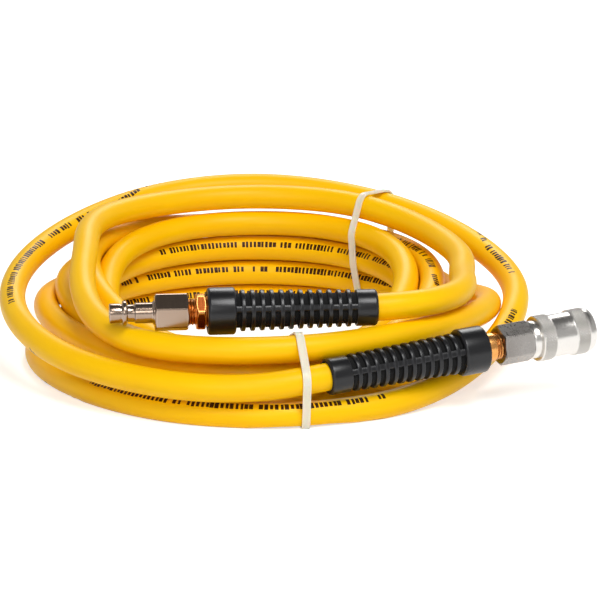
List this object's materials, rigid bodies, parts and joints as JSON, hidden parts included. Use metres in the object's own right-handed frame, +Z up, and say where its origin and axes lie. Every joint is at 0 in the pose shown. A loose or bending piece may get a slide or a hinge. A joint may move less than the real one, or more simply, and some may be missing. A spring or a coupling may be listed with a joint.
{
  "type": "coiled air hose",
  "caption": "Rubber air hose wound in a flat coil, with ribbed bend guards, a quick plug on one end, a valved quick coupler on the other, and plastic ties round the loops.",
  "frame": {"origin": "where the upright axis of the coil meets the floor that the hose lies on", "axes": "+Z up, +X to the right past the coupler, -Y to the front, where the plug and the coupler lie"},
  "size_m": [0.2863, 0.2598, 0.0699],
  "materials": {
    "hose_rubber": "satin",
    "guard_plastic": "satin",
    "brass": "satin",
    "nickel_plate": "satin",
    "turned_steel": "turned",
    "spring_wire": "satin",
    "seal_rubber": "matte",
    "tie_plastic": "satin"
  },
  "bodies": {
    "hose_and_fittings": {"hose_coil": "hose_rubber", "hose_run_plug": "hose_rubber", "hose_run_coupler": "hose_rubber", "hose_tail_plug": "hose_rubber", "hose_tail_coupler": "hose_rubber", "plug_bend_guard": "guard_plastic", "plug_ferrule": "brass", "plug_hose_insert": "brass", "plug_thread_seal": "seal_rubber", "plug_nipple": "nickel_plate", "coupler_bend_guard": "guard_plastic", "coupler_ferrule": "brass", "coupler_hose_insert": "brass", "coupler_thread_seal": "seal_rubber", "coupler_adaptor": "turned_steel", "coupler_body": "turned_steel", "sleeve_spring": "spring_wire", "sleeve_snap_ring": "spring_wire", "locking_balls": "spring_wire", "valve_spring": "spring_wire", "socket_seal": "seal_rubber", "tie_front": "tie_plastic", "tie_back": "tie_plastic"},
    "release_sleeve": {"coupler_sleeve": "turned_steel"},
    "poppet": {"valve_poppet": "brass", "valve_seal": "seal_rubber"}
  },
  "joints": [
    {"name": "sleeve_slide", "type": "slide", "parent": "hose_and_fittings", "child": "release_sleeve", "axis": [0.9255, 0.372, 0.0715], "range_m": [-0.0033, 0], "stiffness_N_per_m": 600, "springref_m": 0.004, "deforming": ["sleeve_spring"]},
    {"name": "poppet_slide", "type": "slide", "parent": "hose_and_fittings", "child": "poppet", "axis": [0.9255, 0.372, 0.0715], "range_m": [-0.0033, 0], "stiffness_N_per_m": 300, "springref_m": 0.003, "deforming": ["valve_spring"]}
  ]
}
